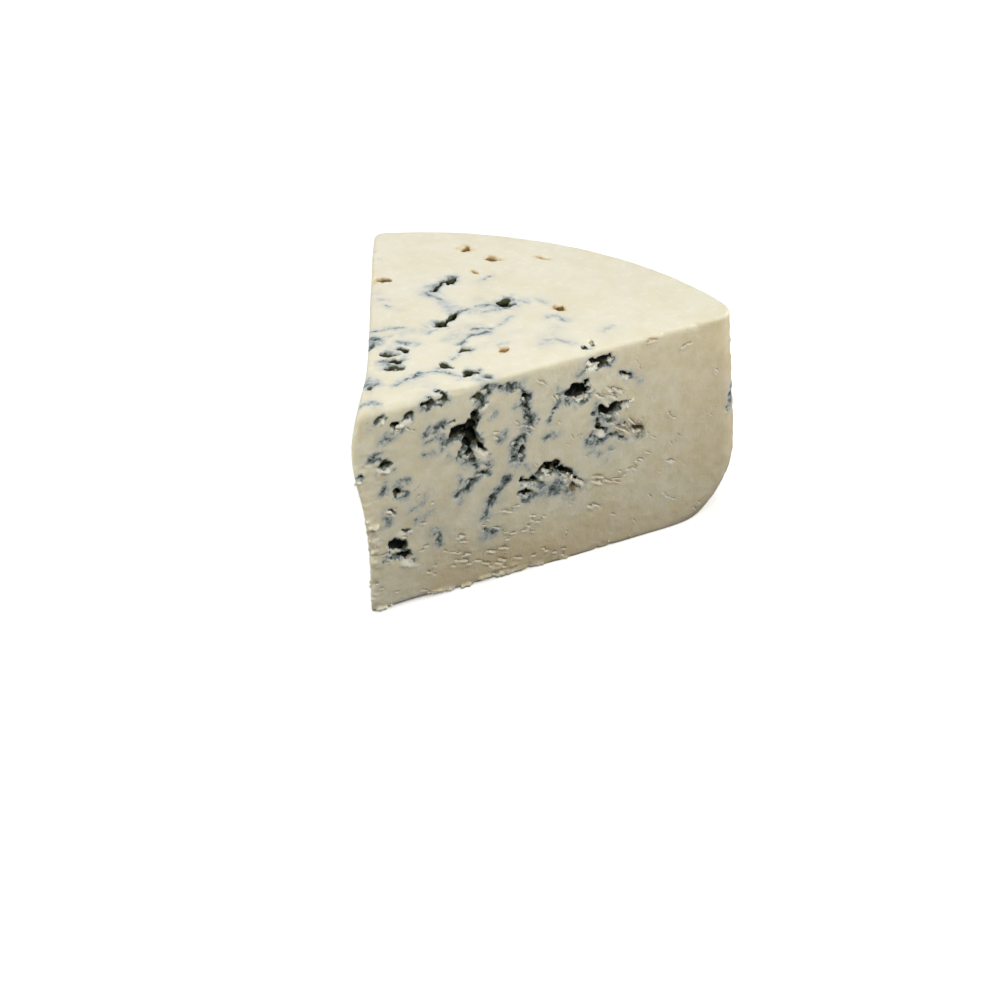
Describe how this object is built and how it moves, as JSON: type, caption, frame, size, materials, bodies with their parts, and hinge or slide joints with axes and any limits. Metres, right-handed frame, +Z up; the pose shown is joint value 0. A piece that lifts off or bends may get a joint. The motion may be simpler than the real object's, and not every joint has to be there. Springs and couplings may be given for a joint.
{
  "type": "blue cheese wedge",
  "caption": "Wedge of blue-veined cheese with knife-cut sides, a level sliced top, a curved rim with a turned-in foot, and open mould holes over the cut faces.",
  "frame": {"origin": "middle of the wedge's box, on the flat face it stands on", "axes": "+Z up from the flat face to the level slice, +Y from the tip toward the rim halfway between the knife cuts, +X to the right seen from the tip"},
  "size_m": [0.1154, 0.1184, 0.0665],
  "materials": {
    "cheese_paste": "soft, slightly greasy ivory cheese paste with blue-green mould veins"
  },
  "bodies": {
    "root": {"wedge": "cheese_paste"}
  },
  "joints": []
}
